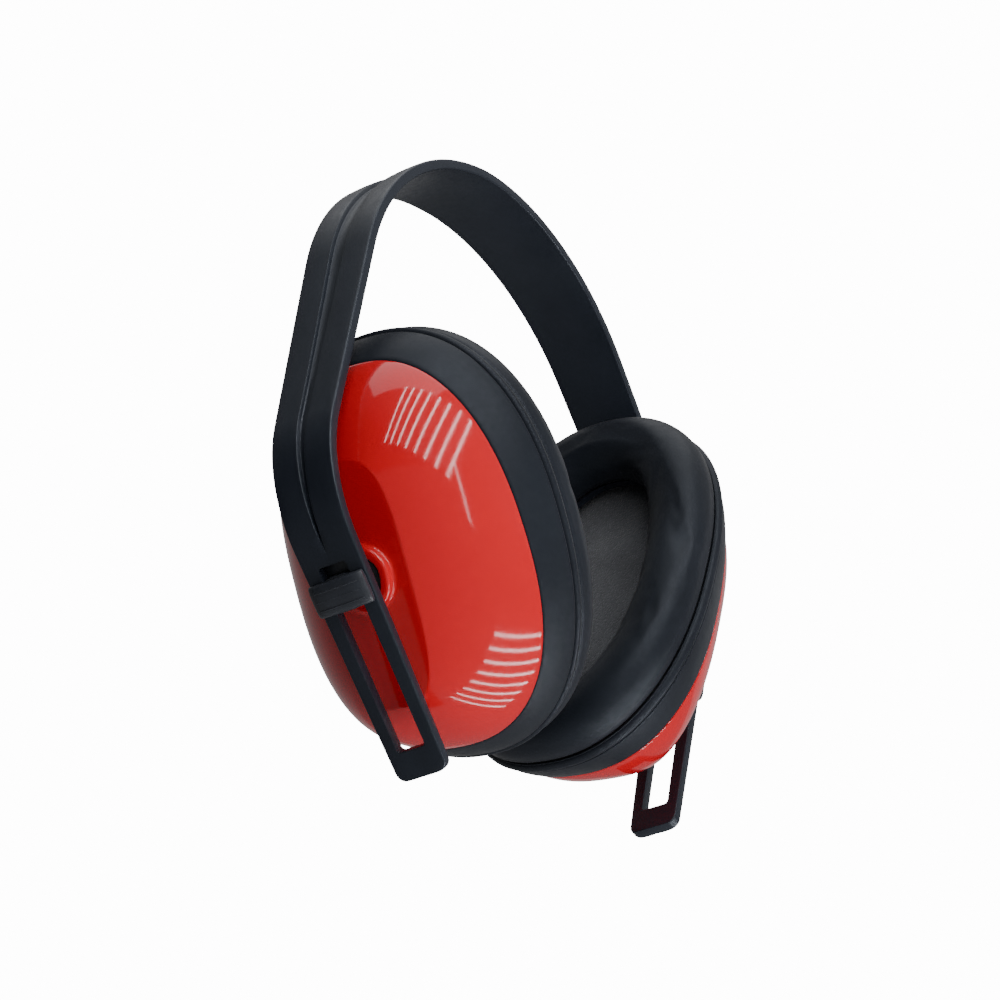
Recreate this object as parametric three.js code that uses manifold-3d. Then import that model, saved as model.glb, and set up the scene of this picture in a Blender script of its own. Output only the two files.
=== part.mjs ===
// Earmuff hearing protector: a one-piece moulded headband and two swivelling ear cups.
// Millimetres, +Z up, +X to the right cup. The origin is on the underside of the band's crown,
// where the band rests on the head. Both cups hang on sliders in the slots of the band's legs.
import * as THREE from 'three';
import { mergeVertices } from 'three/addons/utils/BufferGeometryUtils.js';
import Module from 'manifold-3d';

const wasm = await Module();
wasm.setup();

// Headband: crown arc, straight flank, elbow arc and straight slotted leg, along its mid-surface
const bandThickness = 2.76;
const crownRadius = 64;
const flankSlope = THREE.MathUtils.degToRad(64.3);
const flankLength = 54.2;
const elbowRadius = 33.1;
const legSlope = THREE.MathUtils.degToRad(119.4);
const legLength = 57.8;
const crownWidth = 22.5;
const elbowWidth = 17.4;
const legEndWidth = 13.7;
const edgeBevel = 0.55;
const legCornerRadius = 2.4;

// Channel down the middle of the band's outer face
const channelDepth = 1;
const channelCrownWidth = 6.4;
const channelElbowWidth = 1.9;
const channelTipBelowElbow = 1.7;

// Slot in each leg, measured down the leg from the elbow
const slotTop = 4.7;
const slotBottom = 50.9;
const slotWidth = 7.7;
const slotCornerRadius = 0.9;

// Slider: a saddle on the outer face with a tongue in the slot, and a plate on the inner face
const fit = 0.3;
const clipWidth = 15.2;
const clipHeight = 7.8;
const clipThickness = 2.6;
const clipEdgeThickness = 1.1;
const tongueWidth = slotWidth - 2 * fit;
const tongueHeight = 8.4;
const tongueCornerRadius = 1.6;
const plateWidth = 13;
const plateHeight = 12.5;
const plateMiddle = 2.05;
const plateThickness = 1.6;
const plateCornerRadius = 1.8;

// Ball joint between the slider and the cup
const ballInboard = 10;
const ballRadius = 4.2;
const studRadius = 2.1;
const studFlangeRadius = 3.4;
const studFlangeThickness = 1;
const bushRadius = 5.7;
const bushFront = 2.3;
const bushBack = -3.4;
const bossRadius = 8;
const bossBore = 6.1;
const bossLipBore = 5.55;
const bossRise = 2.2;
const bossChamfer = 0.75;
const bossLipDepth = 0.8;
const housingDepth = 6.4;
const capThickness = 1.8;
const capChamfer = 0.6;

// Cup outlines are superellipses, some a little egg-shaped. Each has a depth inboard of the
// leg's mid-surface, half width a, half height b, squareness p, egg and height of its centre.
const plateau = { depth: 9.4, a: 12, b: 29.2, p: 3.4, egg: 0.03, up: -1.8 };
const domeRim = { depth: 30.1, a: 32.7, b: 47, p: 2.33, egg: -0.05, up: 1 };
const seam = { depth: 41.8, a: 37.6, b: 52.3, p: 2.26, egg: 0.01, up: 1.6 };
const domeStartAngle = 0.49;
const domeEndAngle = 1.19;
const wall = 2;
const skirtBulge = 0.14;
const flangeEnd = 0.86;

// Cushion: a vinyl skirt stretched over the cup's flange, welded at the seam to a vinyl cover
const skinThickness = 0.9;
const seamGrip = 1.8;
const cushionDepth = 12.2;
const cushionRing = 17.6;
const baseThickness = 1.8;
const collarDepth = 4;
const collarInset = 4.4;
const collarThickness = 1.6;
const collarFlare = 2;
const archPower = 0.75;
const linerOutline = { depth: 32.5, a: 28.6, b: 43.3, p: 2.3, egg: 0, up: 1.5 };
const linerThickness = 6.5;
const linerRound = 1.5;

// How each cup sits at rest: slider distance below the elbow, and the cup's swivel about the
// leg, tilt towards it, and roll in its own plane
const sides = [
  { name: 'left', turn: Math.PI, slider: 11.7, swivel: -0.036, tilt: -0.105, roll: -0.098 },
  { name: 'right', turn: 0, slider: 9.4, swivel: -0.004, tilt: -0.099, roll: 0.155 },
];

// Number of steps round each outline
const cupSteps = 36;
const pinSteps = 14;
const bossSteps = 24;

// --- shape helpers -------------------------------------------------------------------------

// Turns a closed surface's faces outwards, if the way it was wound left them facing in
function facingOut(geometry) {
  const position = geometry.attributes.position;
  const index = geometry.index.array;
  const [a, b, c] = [new THREE.Vector3(), new THREE.Vector3(), new THREE.Vector3()];
  let volume = 0;
  for (let i = 0; i < index.length; i += 3) {
    a.fromBufferAttribute(position, index[i]);
    b.fromBufferAttribute(position, index[i + 1]);
    c.fromBufferAttribute(position, index[i + 2]);
    volume += a.dot(b.cross(c));
  }
  if (volume < 0) {
    for (let i = 0; i < index.length; i += 3) {
      [index[i], index[i + 1]] = [index[i + 1], index[i]];
    }
  }
  return geometry;
}

// Joins rings of points into one closed surface: with flat ends, or closed on itself
function loft(rings, closesOnItself = false) {
  const count = rings[0].length;
  const positions = rings.flat().flatMap((point) => point.toArray());
  const index = [];
  const spans = closesOnItself ? rings.length : rings.length - 1;
  for (let i = 0; i < spans; i++) {
    const here = i * count;
    const next = ((i + 1) % rings.length) * count;
    for (let j = 0; j < count; j++) {
      const k = (j + 1) % count;
      index.push(here + j, here + k, next + k, here + j, next + k, next + j);
    }
  }
  if (!closesOnItself) {
    for (const [ring, flip] of [[0, true], [rings.length - 1, false]]) {
      const middle = new THREE.Vector3();
      rings[ring].forEach((point) => middle.addScaledVector(point, 1 / count));
      const centre = positions.length / 3;
      positions.push(...middle.toArray());
      for (let j = 0; j < count; j++) {
        const a = ring * count + j;
        const b = ring * count + ((j + 1) % count);
        index.push(centre, ...(flip ? [b, a] : [a, b]));
      }
    }
  }
  const geometry = new THREE.BufferGeometry();
  geometry.setAttribute('position', new THREE.Float32BufferAttribute(positions, 3));
  geometry.setIndex(index);
  return facingOut(geometry);
}

function toSolid(geometry) {
  const bare = geometry.clone();
  bare.deleteAttribute('normal');
  bare.deleteAttribute('uv');
  const merged = mergeVertices(bare, 1e-4);
  return new wasm.Manifold(new wasm.Mesh({
    numProp: 3,
    vertProperties: new Float32Array(merged.attributes.position.array),
    triVerts: new Uint32Array(merged.index.array),
  }));
}

function toGeometry(solid) {
  const mesh = solid.getMesh();
  const geometry = new THREE.BufferGeometry();
  geometry.setAttribute('position', new THREE.BufferAttribute(mesh.vertProperties, 3));
  geometry.setIndex(new THREE.BufferAttribute(mesh.triVerts, 1));
  return geometry;
}

// A turned piece about the X axis, from closed [x, radius] points
function turned(points, steps) {
  const profile = points.map(([x, radius]) => new THREE.Vector2(radius, x));
  profile.push(profile[0].clone());
  return facingOut(new THREE.LatheGeometry(profile, steps).rotateZ(-Math.PI / 2));
}

// A plain round pin along X
function turnedPin(from, to, radius) {
  return turned([[from, 0], [to, 0], [to, radius], [from, radius]], pinSteps);
}

// A rounded rectangle in the YZ plane, extruded along X from one face to the other
function roundedBlock(width, height, radius, from, to, middle = 0) {
  const [w, h, r] = [width / 2, height / 2, radius];
  const shape = new THREE.Shape();
  shape.moveTo(-w + r, -h);
  shape.lineTo(w - r, -h);
  shape.absarc(w - r, -h + r, r, -Math.PI / 2, 0);
  shape.lineTo(w, h - r);
  shape.absarc(w - r, h - r, r, 0, Math.PI / 2);
  shape.lineTo(-w + r, h);
  shape.absarc(-w + r, h - r, r, Math.PI / 2, Math.PI);
  shape.lineTo(-w, -h + r);
  shape.absarc(-w + r, -h + r, r, Math.PI, 1.5 * Math.PI);
  const options = { depth: to - from, bevelEnabled: false, curveSegments: 4 };
  const block = new THREE.ExtrudeGeometry(shape, options);
  block.rotateX(Math.PI / 2).rotateZ(Math.PI / 2);
  return block.translate(from, 0, middle);
}

// --- headband ------------------------------------------------------------------------------

const crownArc = crownRadius * flankSlope;
const elbowArc = elbowRadius * (legSlope - flankSlope);
const elbowStart = crownArc + flankLength;
const legStart = elbowStart + elbowArc;
const halfLength = legStart + legLength;
const crownHeight = bandThickness / 2;

// The point of the right half's mid-surface at a distance s from the crown, and its slope there
function bandPoint(s) {
  const arcEnd = (radius, from, to) => [
    radius * (Math.sin(to) - Math.sin(from)), radius * (Math.cos(to) - Math.cos(from)),
  ];
  let slope = Math.min(s, crownArc) / crownRadius;
  let [x, z] = arcEnd(crownRadius, 0, slope);
  if (s > crownArc) {
    const run = Math.min(s, elbowStart) - crownArc;
    x += run * Math.cos(slope);
    z -= run * Math.sin(slope);
  }
  if (s > elbowStart) {
    const from = slope;
    slope += Math.min(s - elbowStart, elbowArc) / elbowRadius;
    const [dx, dz] = arcEnd(elbowRadius, from, slope);
    x += dx;
    z += dz;
  }
  if (s > legStart) {
    x += (s - legStart) * Math.cos(slope);
    z -= (s - legStart) * Math.sin(slope);
  }
  return { x, z: z + crownHeight, slope };
}

function bandWidth(s) {
  const { lerp } = THREE.MathUtils;
  if (s < elbowStart) return lerp(crownWidth, elbowWidth, s / elbowStart);
  return lerp(elbowWidth, legEndWidth, (s - elbowStart) / (halfLength - elbowStart));
}

function channelWidth(s) {
  const { lerp, smoothstep } = THREE.MathUtils;
  const tip = legStart + channelTipBelowElbow;
  if (s > elbowStart) return lerp(channelElbowWidth, 0.3, (s - elbowStart) / (tip - elbowStart));
  return lerp(channelCrownWidth, channelElbowWidth, smoothstep(s, 0, elbowStart));
}

// Places a cross-section of [across, outwards] points at a signed distance from the crown
function bandSection(s, outline) {
  const { x, z, slope } = bandPoint(Math.abs(s));
  const side = Math.sign(s) || 1;
  return outline.map(([across, out]) => new THREE.Vector3(
    side * (x + out * Math.sin(slope)), across, z + out * Math.cos(slope),
  ));
}

// Stations along both halves: close together on the arcs, and on a straight run only at its ends
function stations(last) {
  const crownSteps = 11;
  const elbowSteps = 7;
  const list = [];
  for (let i = 0; i <= crownSteps; i++) list.push((crownArc * i) / crownSteps);
  for (let i = 0; i <= elbowSteps; i++) list.push(elbowStart + (elbowArc * i) / elbowSteps);
  list.push(...last);
  return [...list.slice(1).map((s) => -s).reverse(), ...list];
}

// Half the band's width, drawn in round the corners of the leg's end
function bandHalfWidth(s) {
  const past = Math.max(0, Math.abs(s) - (halfLength - legCornerRadius));
  const drawnIn = legCornerRadius - Math.sqrt(Math.max(0, legCornerRadius ** 2 - past ** 2));
  return bandWidth(Math.abs(s)) / 2 - drawnIn;
}

// The frame on a leg's mid-surface, a distance down from the elbow: X out of the leg, Z up it
function legFrame(turn, down) {
  const { x, z } = bandPoint(legStart + down);
  return new THREE.Matrix4().makeRotationZ(turn)
    .multiply(new THREE.Matrix4().makeTranslation(x, 0, z))
    .multiply(new THREE.Matrix4().makeRotationY(legSlope - Math.PI / 2));
}

function buildHeadband() {
  const t = bandThickness / 2;
  const e = edgeBevel;
  const cornerStations = [0, 0.5, 0.87, 1].map((r) => halfLength - legCornerRadius * (1 - r));
  const body = loft(stations(cornerStations).map((s) => {
    const w = bandHalfWidth(s);
    return bandSection(s, [
      [-w, -t + e], [-w + e, -t], [w - e, -t], [w, -t + e],
      [w, t - e], [w - e, t], [-w + e, t], [-w, t - e],
    ]);
  }));
  const channelEnd = legStart + channelTipBelowElbow;
  const channel = loft(stations([channelEnd]).map((s) => {
    const w = channelWidth(Math.abs(s)) / 2;
    return bandSection(s, [
      [-w, t - channelDepth], [w, t - channelDepth], [w, t + 1], [-w, t + 1],
    ]);
  }));
  let band = toSolid(body).subtract(toSolid(channel));
  const middle = -(slotTop + slotBottom) / 2;
  for (const { turn } of sides) {
    const slot = roundedBlock(
      slotWidth, slotBottom - slotTop, slotCornerRadius, -bandThickness, bandThickness, middle,
    );
    band = band.subtract(toSolid(slot.applyMatrix4(legFrame(turn, 0))));
  }
  return toGeometry(band);
}

// --- slider and ball stud, in the leg's frame ----------------------------------------------

// The saddle's outer face is rounded across the leg, with a low ridge along its middle
function buildClip() {
  const inner = bandThickness / 2 + fit;
  const across = 8;
  const outline = [[-clipWidth / 2, inner]];
  for (let i = 0; i <= across; i++) {
    const u = (2 * i) / across - 1;
    const crown = clipThickness * Math.sqrt(1 - (0.9 * u) ** 4);
    outline.push([(u * clipWidth) / 2, inner + Math.max(clipEdgeThickness, crown)]);
  }
  outline.push([clipWidth / 2, inner]);
  const levels = [[-1, 0.55], [-0.86, 0.9], [-0.5, 1], [0, 1.12], [0.5, 1], [0.86, 0.9], [1, 0.55]];
  const saddle = loft(levels.map(([level, swell]) => outline.map(([y, x]) => new THREE.Vector3(
    inner + (x - inner) * swell, -y, (level * clipHeight) / 2,
  ))));
  const tongue = roundedBlock(
    tongueWidth, tongueHeight, tongueCornerRadius, -bandThickness / 2 + 0.1, inner + 0.5,
  );
  const bore = turnedPin(-inner - 1, inner + 0.8, studRadius + fit);
  return toGeometry(toSolid(saddle).add(toSolid(tongue)).subtract(toSolid(bore)));
}

function buildPlate() {
  const face = -(bandThickness / 2 + fit);
  const plate = roundedBlock(
    plateWidth, plateHeight, plateCornerRadius, face - plateThickness, face, plateMiddle,
  );
  const hole = turnedPin(face - plateThickness - 1, face + 1, studRadius + fit);
  return toGeometry(toSolid(plate).subtract(toSolid(hole)));
}

function buildStud() {
  const flangeFront = -(bandThickness / 2 + 2 * fit + plateThickness);
  const profile = [
    [bandThickness / 2 + fit, 0], [bandThickness / 2 + fit, studRadius],
    [flangeFront, studRadius], [flangeFront, studFlangeRadius],
    [flangeFront - studFlangeThickness, studFlangeRadius],
    [flangeFront - studFlangeThickness - 0.4, studRadius],
  ];
  const neckAngle = Math.asin(studRadius / ballRadius);
  const ballSteps = 6;
  for (let i = 0; i <= ballSteps; i++) {
    const angle = THREE.MathUtils.lerp(neckAngle, Math.PI, i / ballSteps);
    profile.push([
      -ballInboard + ballRadius * Math.cos(angle), i === ballSteps ? 0 : ballRadius * Math.sin(angle),
    ]);
  }
  return turned(profile, pinSteps);
}

// --- cup, in its own frame: origin at the ball's centre, X outwards, Z up the cup ----------

function outlineRing({ depth, a, b, p, egg, up }, steps, inset = 0) {
  const ring = [];
  const power = 2 / p;
  for (let i = 0; i < steps; i++) {
    const angle = (2 * Math.PI * (i + 0.5)) / steps;
    const [c, s] = [Math.cos(angle), Math.sin(angle)];
    const across = Math.sign(c) * Math.abs(c) ** power;
    const along = Math.sign(s) * Math.abs(s) ** power;
    const y = (a - inset) * across * (1 + egg * along);
    ring.push(new THREE.Vector3(ballInboard - depth, y, up + (b - inset) * along));
  }
  return ring;
}

function between(from, to, depthShare, share) {
  const mix = {};
  for (const key of Object.keys(from)) mix[key] = THREE.MathUtils.lerp(from[key], to[key], share);
  mix.depth = THREE.MathUtils.lerp(from.depth, to.depth, depthShare);
  return mix;
}

// The outline of the cup's outer face at a share of the way down its dome: steep near the rim
function domeOutline(share) {
  const angle = THREE.MathUtils.lerp(domeStartAngle, domeEndAngle, share);
  const [s0, s1] = [Math.sin(domeStartAngle), Math.sin(domeEndAngle)];
  const [c0, c1] = [Math.cos(domeStartAngle), Math.cos(domeEndAngle)];
  const depthShare = (c0 - Math.cos(angle)) / (c0 - c1);
  return between(plateau, domeRim, depthShare, (Math.sin(angle) - s0) / (s1 - s0));
}

// The skirt's outer face, from the edge of the dome to the welded seam
function skirtOutline(share) {
  const bulge = skirtBulge * Math.sin(Math.PI * share);
  return between(domeRim, seam, share, share + bulge);
}

// The shell's outer face runs down the dome, steps in under the skirt and flares to its flange;
// its inner face follows one wall thickness behind
function buildShell() {
  const outer = [];
  const inner = [];
  const domeRings = 6;
  const flangeRings = 3;
  const under = skinThickness + fit;
  for (let i = 0; i <= domeRings; i++) {
    const angle = THREE.MathUtils.lerp(domeStartAngle, domeEndAngle, i / domeRings);
    const outline = domeOutline(i / domeRings);
    outer.push(outlineRing(outline, cupSteps));
    const behind = { ...outline, depth: outline.depth + wall * Math.cos(angle) };
    inner.push(outlineRing(behind, cupSteps, wall * Math.sin(angle)));
  }
  outer.push(outlineRing(skirtOutline(0), cupSteps, under));
  for (let i = 1; i <= flangeRings; i++) {
    const outline = skirtOutline((flangeEnd * i) / flangeRings);
    outer.push(outlineRing(outline, cupSteps, under));
    inner.push(outlineRing(outline, cupSteps, under + wall));
  }
  const front = ballInboard - plateau.depth + bossRise;
  const boss = turned([
    [front - bossChamfer, bossRadius], [front, bossRadius - bossChamfer], [front, 0],
    [-housingDepth, 0], [-housingDepth, bossRadius],
  ], bossSteps);
  const lip = front - bossLipDepth;
  const bore = turned([
    [-housingDepth - 1, 0], [front + 1, 0], [front + 1, bossLipBore],
    [lip, bossLipBore], [lip + bossLipBore - bossBore, bossBore], [-housingDepth - 1, bossBore],
  ], bossSteps);
  const dome = loft([...outer, ...inner.reverse()]);
  return toGeometry(toSolid(dome).add(toSolid(boss)).subtract(toSolid(bore)));
}

// The bush is a zone of a hollow sphere: the ball turns in it, and it turns in the boss
function buildBush() {
  const steps = 4;
  const zone = (radius, from, to) => Array.from({ length: steps + 1 }, (_, i) => {
    const x = THREE.MathUtils.lerp(from, to, i / steps);
    return [x, Math.sqrt(radius ** 2 - x ** 2)];
  });
  return turned(
    [...zone(bushRadius, bushFront, bushBack), ...zone(ballRadius + fit, bushBack, bushFront)],
    pinSteps,
  );
}

function buildSocketCap() {
  const front = -(housingDepth + fit);
  const back = front - capThickness;
  return turned([[front, 0], [front, bossRadius], [back, bossRadius - capChamfer], [back, 0]], pinSteps);
}

// Rings follow the seam's outline; a section's points are [inset, depth] measured from the seam
function seamRing(section) {
  const rings = section.map(([inset, depth]) => outlineRing(
    { ...seam, depth: seam.depth + depth }, cupSteps, inset,
  ));
  return loft(rings, true);
}

// The skirt wraps the flange from the edge of the dome to the seam, and grips round the seam
function buildSkirt() {
  const shares = [0.03, 0.3, 0.6, 0.93];
  const outer = [...shares, 1].map((share) => outlineRing(skirtOutline(share), cupSteps));
  const inner = shares.map((share) => outlineRing(skirtOutline(share), cupSteps, skinThickness));
  const edge = { ...seam, depth: seam.depth + skinThickness };
  const lip = [
    outlineRing(edge, cupSteps), outlineRing(edge, cupSteps, seamGrip),
    outlineRing(seam, cupSteps, seamGrip),
  ];
  return loft([...outer, ...lip, ...inner.reverse()], true);
}

// A stiff flat ring carries the foam, and its collar snaps inside the cup's flange
function buildCushionBase() {
  const edge = seamGrip + fit;
  const hole = cushionRing - skinThickness - fit;
  const front = skinThickness;
  const back = front - baseThickness;
  return seamRing([
    [edge, front], [hole, front], [hole, back], [collarInset + collarThickness, back],
    [collarInset + collarThickness + collarFlare, back - collarDepth],
    [collarInset + collarFlare, back - collarDepth], [collarInset, back], [edge, back],
  ]);
}

// The cushion's arch, shrunk by an inset all round
function arch(inset, steps) {
  const foot = skinThickness + fit;
  const ring = cushionRing - 2 * inset;
  return Array.from({ length: steps + 1 }, (_, i) => {
    const angle = (Math.PI * i) / steps;
    const rise = (cushionDepth - inset) * Math.sin(angle) ** archPower;
    return [inset + (ring / 2) * (1 - Math.cos(angle)), foot + rise];
  });
}

function buildCushionCover() {
  return seamRing([...arch(0, 8), ...arch(skinThickness, 7).reverse()]);
}

function buildCushionFoam() {
  return seamRing(arch(skinThickness + fit, 7));
}

function buildLiner() {
  const back = outlineRing(linerOutline, cupSteps, linerRound);
  const side = outlineRing({ ...linerOutline, depth: linerOutline.depth + linerRound }, cupSteps);
  const front = { ...linerOutline, depth: linerOutline.depth + linerThickness };
  return loft([back, side, outlineRing(front, cupSteps)]);
}

// --- assembly ------------------------------------------------------------------------------

const earmuff = new THREE.Group();

function plastic(color, roughness) {
  return new THREE.MeshStandardMaterial({ color, roughness, metalness: 0 });
}

const blackPlastic = plastic(0x23262c, 0.45);
const redPlastic = plastic(0xc8201f, 0.2);
const blackVinyl = plastic(0x1f2227, 0.55);
const greyFoam = plastic(0x3c3e42, 0.95);
const blackNylon = plastic(0x16171a, 0.4);

function addPart(parent, name, geometry, material) {
  const mesh = new THREE.Mesh(geometry, material.clone());
  mesh.name = name;
  parent.add(mesh);
}

addPart(earmuff, 'headband', buildHeadband(), blackPlastic);

const clip = buildClip();
const plate = buildPlate();
const stud = buildStud();
const bush = buildBush();
const cupParts = [
  ['cup_shell', buildShell(), redPlastic],
  ['socket_cap', buildSocketCap(), blackNylon],
  ['cushion_skirt', buildSkirt(), blackVinyl],
  ['cushion_base', buildCushionBase(), blackPlastic],
  ['cushion_cover', buildCushionCover(), blackVinyl],
  ['cushion_foam', buildCushionFoam(), greyFoam],
  ['ear_foam', buildLiner(), greyFoam],
];

for (const { name, turn, slider, swivel, tilt, roll } of sides) {
  const leg = new THREE.Group();
  legFrame(turn, slider).decompose(leg.position, leg.quaternion, leg.scale);
  earmuff.add(leg);
  addPart(leg, `${name}_slider_clip`, clip.clone(), blackPlastic);
  addPart(leg, `${name}_slider_plate`, plate.clone(), blackPlastic);
  addPart(leg, `${name}_ball_stud`, stud.clone(), blackNylon);

  // The bush follows the cup's swivel about the leg; the cup also tilts on it
  const swivelled = new THREE.Group();
  swivelled.position.x = -ballInboard;
  swivelled.rotation.z = swivel;
  leg.add(swivelled);
  addPart(swivelled, `${name}_pivot_bush`, bush.clone(), blackNylon);

  const cup = new THREE.Group();
  cup.rotation.set(roll, tilt, 0, 'YXZ');
  swivelled.add(cup);
  for (const [part, geometry, material] of cupParts) {
    addPart(cup, `${name}_${part}`, geometry.clone(), material);
  }
}

export default earmuff;
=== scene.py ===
import math

import bmesh
import bpy
import numpy as np
from mathutils import Matrix, Vector, noise


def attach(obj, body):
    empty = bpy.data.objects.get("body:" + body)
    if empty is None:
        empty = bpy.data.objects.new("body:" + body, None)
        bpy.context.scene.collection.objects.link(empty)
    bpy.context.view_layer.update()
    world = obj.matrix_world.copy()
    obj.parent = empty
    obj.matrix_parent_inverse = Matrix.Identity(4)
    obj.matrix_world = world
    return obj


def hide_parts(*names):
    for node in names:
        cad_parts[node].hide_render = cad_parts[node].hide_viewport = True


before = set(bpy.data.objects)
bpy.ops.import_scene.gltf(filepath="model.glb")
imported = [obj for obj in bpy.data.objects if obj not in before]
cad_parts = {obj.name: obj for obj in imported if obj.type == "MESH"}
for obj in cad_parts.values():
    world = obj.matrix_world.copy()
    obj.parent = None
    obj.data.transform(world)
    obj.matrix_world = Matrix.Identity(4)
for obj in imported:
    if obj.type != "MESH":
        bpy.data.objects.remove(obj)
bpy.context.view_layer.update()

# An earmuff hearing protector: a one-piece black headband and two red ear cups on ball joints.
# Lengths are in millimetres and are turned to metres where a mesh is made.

# --- Camera ------------------------------------------------------------------------------------
# The view is from the wearer's front left, from below cup height, with the camera rolled so that
# the near leg runs steeply down to the right. Its aim is the middle of the earmuff.

look_azimuth = math.radians(-59.6)
look_elevation = math.radians(-19.7)
look_roll = math.radians(-8.7)
look_distance = 0.7735
look_at = Vector((0, 0, -0.0854))
focal_length = 110.9

back = Vector((
    math.sin(look_azimuth) * math.cos(look_elevation),
    -math.cos(look_azimuth) * math.cos(look_elevation),
    math.sin(look_elevation),
))
level = (-back).cross(Vector((0, 0, 1))).normalized()
upward = level.cross(-back)
camera_right = level * math.cos(look_roll) + upward * math.sin(look_roll)
camera_up = -level * math.sin(look_roll) + upward * math.cos(look_roll)
camera = bpy.data.objects.new("camera", bpy.data.cameras.new("camera"))
camera.data.lens = focal_length
camera.data.sensor_width = 36
camera.data.clip_start = 0.01
camera.matrix_world = Matrix((
    (camera_right.x, camera_up.x, back.x, look_at.x + back.x * look_distance),
    (camera_right.y, camera_up.y, back.y, look_at.y + back.y * look_distance),
    (camera_right.z, camera_up.z, back.z, look_at.z + back.z * look_distance),
    (0, 0, 0, 1),
))
bpy.context.scene.collection.objects.link(camera)
bpy.context.scene.camera = camera

# --- Floor and light ---------------------------------------------------------------------------
# A pale floor well below, a white surround that is dimmer on one side, a large soft light
# overhead, soft fills before and behind, and banks of slats that give the shell its gleams.

bpy.ops.mesh.primitive_plane_add(size=20, location=(0, 0, -1.1))
floor = bpy.context.object
floor.name = "floor"
floor_paint = bpy.data.materials.new("floor_paint")
floor_paint.use_nodes = True
nodes, links = floor_paint.node_tree.nodes, floor_paint.node_tree.links
shader = nodes["Principled BSDF"]
shader.inputs["Base Color"].default_value = (0.8, 0.8, 0.8, 1)
shader.inputs["Roughness"].default_value = 0.8
shader.inputs["Emission Color"].default_value = (1, 1, 1, 1)
seen = nodes.new("ShaderNodeLightPath")
lift = nodes.new("ShaderNodeMath")
lift.operation = "MULTIPLY"
lift.inputs[1].default_value = 2.6
links.new(seen.outputs["Is Camera Ray"], lift.inputs[0])
links.new(lift.outputs["Value"], shader.inputs["Emission Strength"])
floor.data.materials.append(floor_paint)

surround = bpy.data.worlds.new("surround")
surround.use_nodes = True
nodes, links = surround.node_tree.nodes, surround.node_tree.links
sky = nodes["Background"]
sky.inputs["Color"].default_value = (1, 1, 1, 1)
direction = nodes.new("ShaderNodeTexCoord")
facing = nodes.new("ShaderNodeVectorMath")
facing.operation = "DOT_PRODUCT"
facing.inputs[1].default_value = (camera_right * 0.66 - back * 0.75).normalized()
links.new(direction.outputs["Generated"], facing.inputs[0])
falloff = nodes.new("ShaderNodeMapRange")
for socket, number in (("From Min", -0.7), ("From Max", 0.75), ("To Min", 0.03), ("To Max", 0.42)):
    falloff.inputs[socket].default_value = number
links.new(facing.outputs["Value"], falloff.inputs["Value"])
ray = nodes.new("ShaderNodeLightPath")
choose = nodes.new("ShaderNodeMix")
choose.inputs["B"].default_value = 14.0
links.new(ray.outputs["Is Camera Ray"], choose.inputs["Factor"])
links.new(falloff.outputs["Result"], choose.inputs["A"])
links.new(choose.outputs["Result"], sky.inputs["Strength"])
bpy.context.scene.world = surround


def add_light(name, place, width, height, power, seen_in_gloss=True):
    """A soft rectangle of light, in metres and watts, that faces the earmuff."""
    lamp = bpy.data.lights.new(name, "AREA")
    lamp.shape, lamp.size, lamp.size_y, lamp.energy = "RECTANGLE", width, height, power
    obj = bpy.data.objects.new(name, lamp)
    turn = (Vector(place) - look_at).to_track_quat("Z", "Y")
    obj.matrix_world = Matrix.Translation(place) @ turn.to_matrix().to_4x4()
    obj.visible_camera = False
    obj.visible_glossy = seen_in_gloss
    bpy.context.scene.collection.objects.link(obj)
    return obj


add_light("overhead", (0.05, -0.1, 0.75), 0.9, 0.9, 3.6)
add_light("fill", look_at + back * 0.6 + camera_right * 0.45, 0.8, 0.8, 2.7, False)
add_light("rear_fill", look_at - back * 0.9, 0.8, 0.8, 2.5, False)

# Each bank: its direction, lean in degrees, number of slats, their spacing, length and power
bank_distance = 0.5
slat_width = 0.011
for bank, (toward, lean, count, gap, length, power) in enumerate((
    (Vector((-0.52, -0.69, 0.43)), 58, 8, 0.062, 0.50, 0.34),
    (Vector((0.155, -0.50, -0.80)), -3, 8, 0.058, 0.46, 0.34),
    (Vector((-0.45, -0.87, -0.14)), 80, 1, 0.05, 0.17, 0.05),
)):
    toward = toward.normalized()
    centre = look_at + toward * bank_distance
    along = toward.cross(camera_up).normalized()
    along = Matrix.Rotation(math.radians(lean), 3, toward) @ along
    stacked = along.cross(toward)
    for i in range(count):
        slat = add_light(f"slat_{bank}_{i}", centre, length, slat_width, power)
        middle = centre + stacked * gap * (i - (count - 1) / 2)
        turn = Matrix((along, stacked, along.cross(stacked))).transposed().to_4x4()
        slat.matrix_world = Matrix.Translation(middle) @ turn
        if (slat.matrix_world.to_3x3() @ Vector((0, 0, 1))).dot(toward) < 0:
            slat.matrix_world = slat.matrix_world @ Matrix.Rotation(math.pi, 4, "X")

# --- Headband ----------------------------------------------------------------------------------
# One injection moulding in black polypropylene: a springy strap with a channel down its outer
# face, which narrows to a point above the slot in each leg. The sliders run in the slots.

band_thickness = 2.76
crown_radius = 64
flank_slope = math.radians(64.3)
flank_length = 54.2
elbow_radius = 33.1
leg_slope = math.radians(119.4)
leg_length = 57.8
crown_arc = crown_radius * flank_slope
elbow_start = crown_arc + flank_length
leg_start = elbow_start + elbow_radius * (leg_slope - flank_slope)
half_length = leg_start + leg_length
end_corner = 2.4
channel_tip = leg_start + 1.7
slot_top, slot_bottom = 4.7, 50.9
slot_width = 7.7


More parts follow.
